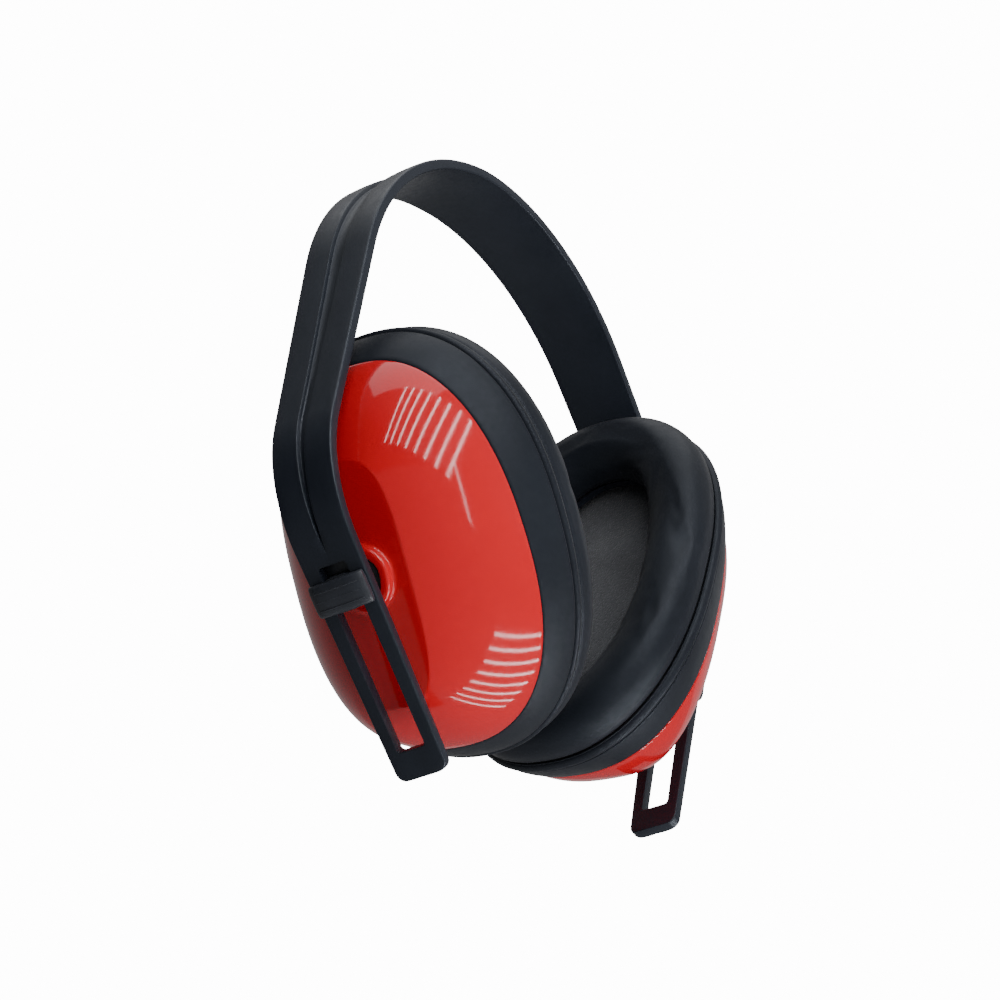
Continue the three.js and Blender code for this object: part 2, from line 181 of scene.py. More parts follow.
def band_point(s):
    """The strap's mid-surface at a distance s from the crown: x, z and the slope there."""
    slope = min(s, crown_arc) / crown_radius
    x = crown_radius * math.sin(slope)
    z = crown_radius * (math.cos(slope) - 1) + band_thickness / 2
    straight = max(0, min(s, elbow_start) - crown_arc)
    x, z = x + straight * math.cos(slope), z - straight * math.sin(slope)
    if s > elbow_start:
        turned = slope + (min(s, leg_start) - elbow_start) / elbow_radius
        x += elbow_radius * (math.sin(turned) - math.sin(slope))
        z += elbow_radius * (math.cos(turned) - math.cos(slope))
        slope = turned
    leg = max(0, s - leg_start)
    return x + leg * math.cos(slope), z - leg * math.sin(slope), slope


def band_half_width(s):
    """Half the strap's width at s: it tapers, and the end of the leg has round corners."""
    crown, elbow, end = 11.25, 8.7, 6.85
    if s < elbow_start:
        half = crown + (elbow - crown) * s / elbow_start
    else:
        half = elbow + (end - elbow) * (s - elbow_start) / (half_length - elbow_start)
    past = max(0.0, s - (half_length - end_corner))
    return half - end_corner + math.sqrt(max(0.0, end_corner ** 2 - past ** 2))


def channel_shape(s):
    """Half width and depth of the channel: wide and deep at the crown, a point above the slot."""
    crown_half, elbow_half, tip_half = 3.2, 1.25, 0.12
    crown_depth, elbow_depth = 1.5, 1.1
    share = min(1.0, s / elbow_start)
    eased = share * share * (3 - 2 * share)
    half = crown_half + (elbow_half - crown_half) * eased
    depth = crown_depth + (elbow_depth - crown_depth) * eased
    if s > elbow_start:
        left = max(0.0, (channel_tip - s) / (channel_tip - elbow_start))
        half = tip_half + (elbow_half - tip_half) * left
        depth = elbow_depth * min(1.0, left * 6)
    return half, depth


def band_section(s):
    """Points round the strap at s, as (across, outwards), with rounded edges and rails."""
    half, t, edge = band_half_width(s), band_thickness / 2, 0.55
    groove, depth = channel_shape(s)
    lip = min(0.22, groove * 0.7)
    rail_crown = 0.12
    points = []
    for side, start in ((-1, 180), (1, 270)):
        for step in range(5):
            a = math.radians(start + 22.5 * step)
            points.append((side * (half - edge) + edge * math.cos(a), edge - t + edge * math.sin(a)))
    right = []
    for step in range(5):
        a = math.radians(22.5 * step)
        right.append((half - edge + edge * math.cos(a), t - edge + edge * math.sin(a)))
    rail_from, rail_to = half - edge, groove + lip
    for step in range(1, 5):
        u = step / 5
        right.append((rail_from + (rail_to - rail_from) * u, t + rail_crown * math.sin(math.pi * u)))
    right += [(groove + lip, t), (groove + lip * 0.45, t - depth * 0.12),
              (groove, t - depth * 0.8), (groove * 0.8, t - depth), (0.0, t - depth)]
    left = [(-across, out) for across, out in reversed(right[:-1])]
    return points + right + left


def smooth_all(obj):
    obj.data.polygons.foreach_set("use_smooth", [True] * len(obj.data.polygons))


def loft(name, rings, loop=False):
    """A closed mesh through rings of points in millimetres: capped, or joined end to start."""
    rings = [np.asarray(ring, float) for ring in rings]
    count = len(rings[0])
    verts = np.concatenate(rings)
    faces = []
    for i in range(len(rings) if loop else len(rings) - 1):
        here, after = i * count, (i + 1) % len(rings) * count
        for j in range(count):
            k = (j + 1) % count
            faces.append((here + j, here + k, after + k, after + j))
    if not loop:
        faces.append(tuple(range(count - 1, -1, -1)))
        faces.append(tuple(range((len(rings) - 1) * count, len(rings) * count)))
    mesh = bpy.data.meshes.new(name)
    mesh.from_pydata((verts / 1000).tolist(), [], faces)
    shape = bmesh.new()
    shape.from_mesh(mesh)
    bmesh.ops.recalc_face_normals(shape, faces=shape.faces)
    shape.to_mesh(mesh)
    shape.free()
    obj = bpy.data.objects.new(name, mesh)
    bpy.context.scene.collection.objects.link(obj)
    smooth_all(obj)
    return obj


def bake(obj):
    """Turns an object's modifiers into its mesh."""
    evaluated = obj.evaluated_get(bpy.context.evaluated_depsgraph_get())
    mesh = bpy.data.meshes.new_from_object(evaluated)
    obj.modifiers.clear()
    obj.data = mesh
    return obj


def smooth_by_angle(obj, degrees):
    """Smooth shading, but for the edges sharper than an angle."""
    smooth_all(obj)
    obj.data.set_sharp_from_angle(angle=math.radians(degrees))


def rounded_block(name, width, height, radius, thickness, out=0.0, up=0.0, place=None):
    """A plate across a leg with round corners: thickness along the leg's outward axis."""
    ring = []
    for corner in range(4):
        cy = (width / 2 - radius) * (1 if corner in (0, 3) else -1)
        cz = (height / 2 - radius) * (1 if corner in (0, 1) else -1)
        for step in range(7):
            a = math.radians(90 * corner + 15 * step)
            ring.append((cy + radius * math.cos(a), cz + radius * math.sin(a)))
    rings = [[place(Vector((out + side * thickness / 2, y, up + z))) for y, z in ring]
             for side in (-1, 1)]
    return loft(name, rings)


leg_frames = {}
for side, turn in (("left", math.pi), ("right", 0.0)):
    x, z, _ = band_point(leg_start)
    leg_frames[side] = (
        Matrix.Rotation(turn, 4, "Z") @ Matrix.Translation((x, 0, z))
        @ Matrix.Rotation(leg_slope - math.pi / 2, 4, "Y")
    )

half_stations = list(np.linspace(0, crown_arc, 49))
half_stations += list(np.linspace(crown_arc, elbow_start, 13)[1:])
half_stations += list(np.linspace(elbow_start, channel_tip, 29)[1:])
half_stations += list(np.linspace(leg_start + 4, half_length - end_corner, 14))
half_stations += [
    half_length - end_corner * (1 - math.sin(math.radians(a))) for a in (18, 36, 54, 72, 84)
]
band_rings = []
for s in [-v for v in reversed(half_stations[1:])] + half_stations:
    x, z, slope = band_point(abs(s))
    side = -1 if s < 0 else 1
    band_rings.append([
        (side * (x + out * math.sin(slope)), across, z + out * math.cos(slope))
        for across, out in band_section(abs(s))
    ])
headband = loft("headband_moulding", band_rings)
for side in ("left", "right"):
    cutter = rounded_block(
        "cutter", slot_width, slot_bottom - slot_top, 1.0, 12,
        up=-(slot_top + slot_bottom) / 2, place=lambda p, f=leg_frames[side]: f @ p,
    )
    cut = headband.modifiers.new("slot", "BOOLEAN")
    cut.operation, cut.object, cut.solver = "DIFFERENCE", cutter, "EXACT"
    bake(headband)
    bpy.data.objects.remove(cutter)
ease = headband.modifiers.new("ease", "BEVEL")
ease.width, ease.segments, ease.limit_method = 0.00022, 2, "ANGLE"
ease.angle_limit = math.radians(50)
bake(headband)
smooth_by_angle(headband, 40)


def new_material(name):
    """A material with its nodes, its links, its shader and the piece's own coordinates."""
    material = bpy.data.materials.new(name)
    material.use_nodes = True
    nodes, links = material.node_tree.nodes, material.node_tree.links
    shader = nodes["Principled BSDF"]
    where = nodes.new("ShaderNodeTexCoord")
    return material, nodes, links, shader, where.outputs["Object"]


def add_noise(nodes, links, vector, scale, detail=4.0, rough=0.5, stretch=None):
    """A noise pattern on the piece's own coordinates; stretch squeezes it along an axis."""
    if stretch:
        mapping = nodes.new("ShaderNodeMapping")
        mapping.inputs["Scale"].default_value = stretch
        links.new(vector, mapping.inputs["Vector"])
        vector = mapping.outputs["Vector"]
    pattern = nodes.new("ShaderNodeTexNoise")
    pattern.inputs["Scale"].default_value = scale
    pattern.inputs["Detail"].default_value = detail
    pattern.inputs["Roughness"].default_value = rough
    links.new(vector, pattern.inputs["Vector"])
    return pattern.outputs["Fac"]


def ramp(nodes, links, value, low, high, colour_low, colour_high):
    """Maps a value between two colours."""
    band = nodes.new("ShaderNodeValToRGB")
    first, last = band.color_ramp.elements
    first.position, first.color = low, (*colour_low, 1)
    last.position, last.color = high, (*colour_high, 1)
    links.new(value, band.inputs["Fac"])
    return band.outputs["Color"]


def spread(nodes, links, value, low, high, to_low, to_high):
    """Maps a value between two numbers."""
    mapped = nodes.new("ShaderNodeMapRange")
    for socket, number in (("From Min", low), ("From Max", high),
                           ("To Min", to_low), ("To Max", to_high)):
        mapped.inputs[socket].default_value = number
    links.new(value, mapped.inputs["Value"])
    return mapped.outputs["Result"]


def add_bump(nodes, links, height, strength, distance, normal=None):
    """Relief from a value, on top of another relief if one is given."""
    bump = nodes.new("ShaderNodeBump")
    bump.inputs["Strength"].default_value = strength
    bump.inputs["Distance"].default_value = distance
    links.new(height, bump.inputs["Height"])
    if normal:
        links.new(normal, bump.inputs["Normal"])
    return bump.outputs["Normal"]


# Moulded polypropylene: bluish black, satin, with a fine spark-eroded texture and faint rubs
band_plastic, nodes, links, shader, place = new_material("black_polypropylene")
cloudy = add_noise(nodes, links, place, 60, 5)
rubbed = add_noise(nodes, links, place, 420, 3, 0.6, stretch=(1, 1, 0.12))
grain = add_noise(nodes, links, place, 5200, 2)
links.new(ramp(nodes, links, cloudy, 0.3, 0.75, (0.0080, 0.0100, 0.0155), (0.0130, 0.0158, 0.0235)),
          shader.inputs["Base Color"])
links.new(spread(nodes, links, rubbed, 0.35, 0.75, 0.36, 0.47), shader.inputs["Roughness"])
texture = add_bump(nodes, links, grain, 0.10, 0.00005)
links.new(add_bump(nodes, links, rubbed, 0.05, 0.0001, texture), shader.inputs["Normal"])
shader.inputs["Specular IOR Level"].default_value = 0.42
shader.inputs["Specular Tint"].default_value = (0.82, 0.90, 1, 1)

headband.data.materials.clear()
headband.data.materials.append(band_plastic)
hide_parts("headband")
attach(headband, "headband")

# --- Sliders -----------------------------------------------------------------------------------
# On each leg a moulded saddle grips the outer face. Its tongue fills the slot, a plate behind
# closes it over the leg, and the steel-cored nylon ball stud goes through both and is riveted.

fit = 0.3
clip_width, clip_height, clip_thickness = 15.2, 7.8, 2.6
tongue_width, tongue_height = slot_width - 2 * fit, 8.4
plate_width, plate_height, plate_middle, plate_thickness = 13, 12.5, 2.05, 1.6
stud_radius, stud_flange, ball_radius, ball_inboard = 2.1, 3.4, 4.2, 10
slider_down = {"left": 11.7, "right": 9.4}
slider_frames = {
    side: leg_frames[side] @ Matrix.Translation((0, 0, -down)) for side, down in slider_down.items()
}


def turned(name, profile, place, steps=64):
    """A solid turned about the X axis from (x, radius) points, both ends on the axis."""
    rings = [[place(Vector((x, r * math.cos(a), r * math.sin(a))))
              for a in (2 * math.pi * i / steps for i in range(steps))] for x, r in profile]
    return loft(name, rings)


def saddle_outline():
    """The saddle's section across the leg: flat inside, a flattened arch outside."""
    inner = band_thickness / 2 + fit
    outline = []
    for i in range(33):
        u = i / 16 - 1
        crown = clip_thickness * max(0.0, 1 - (0.93 * abs(u)) ** 3.6) ** 0.5
        outline.append((u * clip_width / 2, inner + max(0.75, crown)))
    return [(-clip_width / 2 + 0.15, inner)] + outline + [(clip_width / 2 - 0.15, inner)]


# The saddle's polypropylene, a little more worn than the strap's, with faint drag lines
slider_plastic, nodes, links, shader, place = new_material("slider_polypropylene")
cloudy = add_noise(nodes, links, place, 90, 5)
drawn = add_noise(nodes, links, place, 900, 3, 0.6, stretch=(1, 1, 0.2))
grain = add_noise(nodes, links, place, 6000, 2)
links.new(ramp(nodes, links, cloudy, 0.3, 0.75, (0.014, 0.0168, 0.023), (0.021, 0.0245, 0.033)),
          shader.inputs["Base Color"])
links.new(spread(nodes, links, drawn, 0.35, 0.75, 0.38, 0.52), shader.inputs["Roughness"])
texture = add_bump(nodes, links, grain, 0.12, 0.00005)
links.new(add_bump(nodes, links, drawn, 0.06, 0.0001, texture), shader.inputs["Normal"])

# Black nylon of the ball stud, the sleeve and the cap: smooth and faintly mottled
nylon, nodes, links, shader, place = new_material("black_nylon")
worn = add_noise(nodes, links, place, 350, 4, 0.6)
turning = add_noise(nodes, links, place, 2500, 2)
links.new(ramp(nodes, links, worn, 0.35, 0.75, (0.012, 0.0125, 0.0145), (0.021, 0.022, 0.025)),
          shader.inputs["Base Color"])
links.new(spread(nodes, links, worn, 0.3, 0.75, 0.28, 0.42), shader.inputs["Roughness"])
links.new(add_bump(nodes, links, turning, 0.08, 0.00006), shader.inputs["Normal"])


def rib_tree():
    """Sweeps a round rib along an edge line and repeats it down the saddle."""
    tree = bpy.data.node_groups.new("saddle_ribs", "GeometryNodeTree")
    tree.interface.new_socket("Geometry", in_out="INPUT", socket_type="NodeSocketGeometry")
    for label, kind in (("Count", "NodeSocketInt"), ("Step", "NodeSocketVector"),
                        ("Radius", "NodeSocketFloat"), ("Material", "NodeSocketMaterial")):
        tree.interface.new_socket(label, in_out="INPUT", socket_type=kind)
    tree.interface.new_socket("Geometry", in_out="OUTPUT", socket_type="NodeSocketGeometry")
    n, l = tree.nodes, tree.links
    start, end = n.new("NodeGroupInput"), n.new("NodeGroupOutput")
    curve, sweep = n.new("GeometryNodeMeshToCurve"), n.new("GeometryNodeCurveToMesh")
    profile = n.new("GeometryNodeCurvePrimitiveCircle")
    profile.inputs["Resolution"].default_value = 10
    sweep.inputs["Fill Caps"].default_value = True
    l.new(start.outputs["Geometry"], curve.inputs["Mesh"])
    l.new(start.outputs["Radius"], profile.inputs["Radius"])
    l.new(curve.outputs["Curve"], sweep.inputs["Curve"])
    l.new(profile.outputs["Curve"], sweep.inputs["Profile Curve"])
    row, copies = n.new("GeometryNodeMeshLine"), n.new("GeometryNodeInstanceOnPoints")
    row.mode = "OFFSET"
    l.new(start.outputs["Count"], row.inputs["Count"])
    l.new(start.outputs["Step"], row.inputs["Offset"])
    l.new(row.outputs["Mesh"], copies.inputs["Points"])
    l.new(sweep.outputs["Mesh"], copies.inputs["Instance"])
    real, paint = n.new("GeometryNodeRealizeInstances"), n.new("GeometryNodeSetMaterial")
    l.new(copies.outputs["Instances"], real.inputs["Geometry"])
    l.new(real.outputs["Geometry"], paint.inputs["Geometry"])
    l.new(start.outputs["Material"], paint.inputs["Material"])
    l.new(paint.outputs["Geometry"], end.inputs["Geometry"])
    return tree


def run_tree(obj, tree, **values):
    """Gives an object a node tree with these sizes and turns the result into its mesh."""
    modifier = obj.modifiers.new("nodes", "NODES")
    modifier.node_group = tree
    for item in tree.interface.items_tree:
        if item.in_out == "INPUT" and item.name in values:
            modifier[item.identifier] = values[item.name]
    return bake(obj)


saddle_ribs = rib_tree()
for side in ("left", "right"):
    frame_here = slider_frames[side]

    def put(p, f=frame_here):
        return f @ p

    inner = band_thickness / 2 + fit
    levels = ((-1, 0.62), (-0.97, 0.82), (-0.86, 0.97), (-0.6, 1.04), (-0.2, 1.09), (0.2, 1.09),
              (0.6, 1.03), (0.86, 0.94), (0.97, 0.8), (1, 0.6))
    rings = []
    for level, step_out in levels:
        pull = 1 - 0.045 * max(0, abs(level) - 0.8) / 0.2
        rings.append([put(Vector((inner + (x - inner) * step_out, -y * pull, level * clip_height / 2)))
                      for y, x in saddle_outline()])
    clip = loft(f"{side}_slider_saddle", rings)
    tongue = rounded_block("tongue", tongue_width, tongue_height, 1.7, band_thickness - 0.1 + fit + 0.4,
                           out=(fit + 0.5) / 2, place=put)
    join = clip.modifiers.new("join", "BOOLEAN")
    join.operation, join.object, join.solver = "UNION", tongue, "EXACT"
    bake(clip)
    bpy.data.objects.remove(tongue)
    bore = turned("bore", [(-inner - 1, 0), (-inner - 1, stud_radius + fit),
                           (inner + 0.8, stud_radius + fit), (inner + 0.8, 0)], put, 32)
    cut = clip.modifiers.new("cut", "BOOLEAN")
    cut.operation, cut.object, cut.solver = "DIFFERENCE", bore, "EXACT"
    bake(clip)
    bpy.data.objects.remove(bore)
    ease = clip.modifiers.new("ease", "BEVEL")
    ease.width, ease.segments, ease.limit_method = 0.0003, 2, "ANGLE"
    ease.angle_limit = math.radians(45)
    bake(clip)
    smooth_by_angle(clip, 40)
    clip.data.materials.clear()
    clip.data.materials.append(slider_plastic)
    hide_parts(f"{side}_slider_clip")
    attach(clip, f"{side}_slider")

    line = bpy.data.meshes.new("rib_line")
    points = [put(Vector((inner + (x - inner) * 1.07 - 0.12, -y, 2.1)))
              for y, x in saddle_outline()[4:-4]]
    line.from_pydata([tuple(p / 1000) for p in points], [(i, i + 1) for i in range(len(points) - 1)], [])
    ribs = bpy.data.objects.new(f"{side}_saddle_ribs", line)
    bpy.context.scene.collection.objects.link(ribs)
    step = (put(Vector((0, 0, -2.1))) - put(Vector((0, 0, 0)))) / 1000
    run_tree(ribs, saddle_ribs, Count=3, Step=tuple(step), Radius=0.00022, Material=slider_plastic)
    smooth_by_angle(ribs, 60)
    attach(ribs, f"{side}_slider")

    plate = rounded_block(f"{side}_slider_backing", plate_width, plate_height, 1.8, plate_thickness,
                          out=-(inner + plate_thickness / 2), up=plate_middle, place=put)
    behind, ahead = -inner - plate_thickness - 1, -inner + 1
    hole = turned("hole", [(behind, 0), (behind, stud_radius + fit),
                           (ahead, stud_radius + fit), (ahead, 0)], put, 32)
    cut = plate.modifiers.new("cut", "BOOLEAN")
    cut.operation, cut.object, cut.solver = "DIFFERENCE", hole, "EXACT"
    bake(plate)
    bpy.data.objects.remove(hole)
    ease = plate.modifiers.new("ease", "BEVEL")
    ease.width, ease.segments, ease.limit_method = 0.0003, 2, "ANGLE"
    ease.angle_limit = math.radians(45)
    bake(plate)
    smooth_by_angle(plate, 40)
    plate.data.materials.clear()
    plate.data.materials.append(slider_plastic)
    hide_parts(f"{side}_slider_plate")
    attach(plate, f"{side}_slider")

    flange = -(band_thickness / 2 + 2 * fit + plate_thickness)
    profile = [(inner - 0.01, 0), (inner - 0.01, stud_radius - 0.3), (inner - 0.3, stud_radius),
               (flange, stud_radius), (flange - 0.05, stud_flange - 0.15), (flange - 0.2, stud_flange),
               (flange - 0.8, stud_flange), (flange - 1.0, stud_flange - 0.2),
               (flange - 1.4, stud_radius)]
    neck = math.asin(stud_radius / ball_radius)
    for i in range(33):
        a = neck + (math.pi - neck) * i / 32
        radius = ball_radius * math.sin(a) if i < 32 else 0
        profile.append((-ball_inboard + ball_radius * math.cos(a), radius))
    stud = turned(f"{side}_stud_and_ball", profile, put)
    smooth_by_angle(stud, 35)
    stud.data.materials.append(nylon)
    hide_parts(f"{side}_ball_stud")
    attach(stud, f"{side}_slider")

# --- Cup shells --------------------------------------------------------------------------------
# Each cup is one glossy red ABS moulding: a tall flattened crown, softly ridged flanks and a
# hidden flange. A round boss rises from the crown for the ball, and its wall runs inside too.

swivel = {"left": -0.036, "right": -0.004}
tilt = {"left": -0.105, "right": -0.099}
roll = {"left": -0.098, "right": 0.155}
cup_frames = {
    side: slider_frames[side] @ Matrix.Translation((-ball_inboard, 0, 0))
    @ Matrix.Rotation(swivel[side], 4, "Z") @ Matrix.Rotation(tilt[side], 4, "Y")
    @ Matrix.Rotation(roll[side], 4, "X")
    for side in ("left", "right")
}
crown = dict(depth=9.4, a=12, b=29.2, p=3.4, egg=0.03, up=-1.8)
rim = dict(depth=30.1, a=32.7, b=47, p=2.33, egg=-0.05, up=1)
seam = dict(depth=41.8, a=37.6, b=52.3, p=2.26, egg=0.01, up=1.6)
dome_start, dome_end = 0.49, 1.19
wall, skin = 2.0, 0.9
boss_radius, boss_bore, boss_lip, boss_rise, housing_depth = 8, 6.1, 5.55, 2.2, 6.4
cup_steps = 144


def outline(depth, a, b, p, egg, up, inset=0.0, steps=cup_steps):
    """A rounded, slightly egg-shaped ring on the cup, at a depth in from the crown's side."""
    angle = 2 * np.pi * (np.arange(steps) + 0.5) / steps
    across = np.sign(np.cos(angle)) * np.abs(np.cos(angle)) ** (2 / p)
    along = np.sign(np.sin(angle)) * np.abs(np.sin(angle)) ** (2 / p)
    y = (a - inset) * across * (1 + egg * along)
    return np.stack([np.full(steps, ball_inboard - depth), y, up + (b - inset) * along], 1)


def between(first, last, depth_share, share):
    """An outline's sizes part of the way from one outline to another."""
    mixed = {key: first[key] + (last[key] - first[key]) * share for key in first}
    mixed["depth"] = first["depth"] + (last["depth"] - first["depth"]) * depth_share
    return mixed


def dome(share):
    """The outline at a share of the way down the dome, and the wall's slope there."""
    a = dome_start + (dome_end - dome_start) * share
    depth_share = (math.cos(dome_start) - math.cos(a)) / (math.cos(dome_start) - math.cos(dome_end))
    reach = (math.sin(a) - math.sin(dome_start)) / (math.sin(dome_end) - math.sin(dome_start))
    return between(crown, rim, depth_share, reach), a


def skirt_line(share):
    """The skirt's outline at a share of the way from the shell's edge to the seam."""
    return between(rim, seam, share, share + 0.14 * math.sin(math.pi * share))


def boss_ring(x, radius):
    """A circle round the boss whose points lie in line with the crown outline's points."""
    flat = outline(**crown)[:, 1:]
    flat = radius * flat / np.linalg.norm(flat, axis=1, keepdims=True)
    return np.column_stack([np.full(cup_steps, x), flat])


def crown_ring(share, x, start):
    """Between a circle round the boss and the crown's edge."""
    inside, outside = boss_ring(x, start), outline(**crown)
    ring = inside + (outside - inside) * share
    ring[:, 0] = x
    return ring


face = ball_inboard - crown["depth"]
shell_rings = []
for x, radius in ((face + boss_rise - 0.85, boss_lip), (face + boss_rise - 0.25, boss_lip),
                  (face + boss_rise - 0.05, boss_lip + 0.2), (face + boss_rise, boss_lip + 0.45),
                  (face + boss_rise, boss_radius - 0.95), (face + boss_rise - 0.08, boss_radius - 0.6),
                  (face + boss_rise - 0.3, boss_radius - 0.25),
                  (face + boss_rise - 0.7, boss_radius - 0.03), (face + 0.75, boss_radius),
                  (face + 0.4, boss_radius + 0.12), (face + 0.15, boss_radius + 0.38)):
    shell_rings.append(boss_ring(x, radius))
for share, x in ((0.0, face + 0.03), (0.12, face), (0.35, face), (0.6, face), (0.8, face),
                 (0.93, face - 0.02), (0.975, face - 0.07)):
    shell_rings.append(crown_ring(share, x, boss_radius + 0.75))
for share in np.concatenate([[0.004, 0.02], np.linspace(0.045, 1, 30)]):
    shape, _ = dome(float(share))
    shell_rings.append(outline(**shape))
under = skin + fit
rim_inset = under / 2
shell_rings.append(outline(**{**rim, "depth": rim["depth"] + 0.1}, inset=rim_inset))
shell_rings.append(outline(**rim, inset=under) + np.array([-0.12, 0, 0]))
for share in np.linspace(0.08, 0.86, 12):
    shell_rings.append(outline(**skirt_line(float(share)), inset=under))
for share in np.linspace(0.86, 0.08, 12):
    shell_rings.append(outline(**skirt_line(float(share)), inset=under + wall))
for share in np.linspace(1, 0, 24):
    shape, a = dome(float(share))
    shape["depth"] += wall * math.cos(a)
    shell_rings.append(outline(**shape, inset=wall * math.sin(a)))
inner_face = shell_rings[-1][0, 0]
inside_edge = shell_rings[-1].copy()
for share in (0.75, 0.4, 0.1):
    ring = boss_ring(inner_face, boss_radius + 0.4)
    ring = ring + (inside_edge - ring) * share
    ring[:, 0] = inner_face
    shell_rings.append(ring)
for x, radius in ((inner_face - 0.4, boss_radius), (-housing_depth + 0.3, boss_radius),
                  (-housing_depth, boss_radius - 0.3), (-housing_depth, boss_bore + 0.3),
                  (-housing_depth + 0.3, boss_bore), (face + boss_rise - 1.4, boss_bore),
                  (face + boss_rise - 1.0, boss_bore - 0.15)):
    shell_rings.append(boss_ring(x, radius))

# Signal-red ABS: glossy, a little uneven in colour and flow, with fine scuffs
red_abs, nodes, links, shader, place = new_material("red_gloss_abs")
drift = add_noise(nodes, links, place, 14, 3)
swirl = add_noise(nodes, links, place, 55, 4, 0.55)
scuffs = add_noise(nodes, links, place, 900, 4, 0.7, stretch=(1, 0.25, 1))
links.new(ramp(nodes, links, drift, 0.3, 0.7, (0.46, 0.0055, 0.010), (0.53, 0.0095, 0.014)),
          shader.inputs["Base Color"])
links.new(spread(nodes, links, scuffs, 0.45, 0.8, 0.07, 0.12), shader.inputs["Roughness"])
links.new(add_bump(nodes, links, swirl, 0.035, 0.0006), shader.inputs["Normal"])
shader.inputs["Subsurface Weight"].default_value = 0.04
shader.inputs["Subsurface Radius"].default_value = (0.004, 0.0008, 0.0006)


def on_cup(rings, side):
    """Rings in a cup's own frame, put in the earmuff's frame."""
    m = np.array(cup_frames[side])
    return [ring @ m[:3, :3].T + m[:3, 3] for ring in rings]


for side in ("left", "right"):
    shell = loft(f"{side}_cup_moulding", on_cup(shell_rings, side), loop=True)
    smooth_by_angle(shell, 50)
    round_off = shell.modifiers.new("round_off", "SUBSURF")
    round_off.levels = round_off.render_levels = 1
    bake(shell)
    smooth_all(shell)
    shell.data.materials.clear()
    shell.data.materials.append(red_abs)
    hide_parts(f"{side}_cup_shell")
    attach(shell, f"{side}_cup")

    bush_front, bush_back, bush_radius = 2.3, -3.4, 5.7
    profile = []
    for i in range(17):
        x = bush_front + (bush_back - bush_front) * i / 16
        profile.append((x, math.sqrt(bush_radius ** 2 - x ** 2)))
    for i in range(17):
        x = bush_back + (bush_front - bush_back) * i / 16
        profile.append((x, math.sqrt((ball_radius + fit) ** 2 - x ** 2)))
    around = np.linspace(0, 2 * np.pi, 64, endpoint=False)
    rings = [[(x, r * math.cos(a), r * math.sin(a)) for a in around] for x, r in profile]
    bush = loft(f"{side}_pivot_sleeve", on_cup([np.array(r) for r in rings], side), loop=True)
    smooth_by_angle(bush, 40)
    bush.data.materials.append(nylon)
    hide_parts(f"{side}_pivot_bush")
    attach(bush, f"{side}_pivot")

    cap_front = -(housing_depth + fit)
    cap = turned(
        f"{side}_housing_cap",
        [(cap_front, 0), (cap_front, boss_radius - 0.2), (cap_front - 0.2, boss_radius),
         (cap_front - 1.2, boss_radius), (cap_front - 1.6, boss_radius - 0.4),
         (cap_front - 1.8, boss_radius - 1),
         (cap_front - 1.8, 2.2), (cap_front - 1.3, 1.9), (cap_front - 1.3, 0)],
        lambda p, f=cup_frames[side]: f @ p,
    )
    smooth_by_angle(cap, 35)
    cap.data.materials.append(nylon)
    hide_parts(f"{side}_socket_cap")
    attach(cap, f"{side}_cup")

# --- Skirts ------------------------------------------------------------------------------------
# A skin of black vinyl, vacuum-formed over each cup's flange. It starts in a thin groove at the
# red shell's edge and runs out to the seam, where it is heat-welded to the cushion's cover.

seam_grip = 1.8
skirt_rings = []
for share, inset in ((0.012, 0.55), (0.018, 0.2), (0.04, 0.02)):
    skirt_rings.append(outline(**skirt_line(share), inset=inset))
for share in np.linspace(0.09, 0.80, 24):
    skirt_rings.append(outline(**skirt_line(float(share))))
for share, inset in ((0.815, 0.03), (0.825, 0.25), (0.832, 0.62), (0.842, 0.66), (0.850, 0.3),
                     (0.862, -0.05), (0.885, -0.32), (0.915, -0.42), (0.945, -0.38), (0.975, -0.22)):
    skirt_rings.append(outline(**skirt_line(share), inset=inset))
for deeper, inset in ((0.05, -0.05), (0.4, 0.12), (0.7, 0.4), (0.88, 0.85), (0.9, seam_grip)):
    skirt_rings.append(outline(**{**seam, "depth": seam["depth"] + deeper}, inset=inset))
skirt_rings.append(outline(**seam, inset=seam_grip))
for share in np.linspace(0.93, 0.05, 24):
    skirt_rings.append(outline(**skirt_line(float(share)), inset=skin))
skirt_rings.append(outline(**skirt_line(0.014), inset=skin - 0.1))

# Soft black vinyl: bluish, satin, finely pebbled, with faint creases
vinyl, nodes, links, shader, place = new_material("black_vinyl")
cloudy = add_noise(nodes, links, place, 45, 5)
creases = add_noise(nodes, links, place, 260, 5, 0.62)
cells = nodes.new("ShaderNodeTexVoronoi")
cells.feature = "DISTANCE_TO_EDGE"
cells.inputs["Scale"].default_value = 2600
links.new(place, cells.inputs["Vector"])
pebble = spread(nodes, links, cells.outputs["Distance"], 0.0, 0.35, 0.0, 1.0)
links.new(ramp(nodes, links, cloudy, 0.3, 0.72, (0.0062, 0.0075, 0.0112), (0.0100, 0.0120, 0.0170)),
          shader.inputs["Base Color"])
links.new(spread(nodes, links, creases, 0.3, 0.75, 0.40, 0.52), shader.inputs["Roughness"])
texture = add_bump(nodes, links, pebble, 0.10, 0.00005)
links.new(add_bump(nodes, links, creases, 0.10, 0.0003, texture), shader.inputs["Normal"])
shader.inputs["Specular IOR Level"].default_value = 0.24
shader.inputs["Specular Tint"].default_value = (0.80, 0.88, 1, 1)
shader.inputs["Sheen Weight"].default_value = 0.02
shader.inputs["Sheen Roughness"].default_value = 0.5


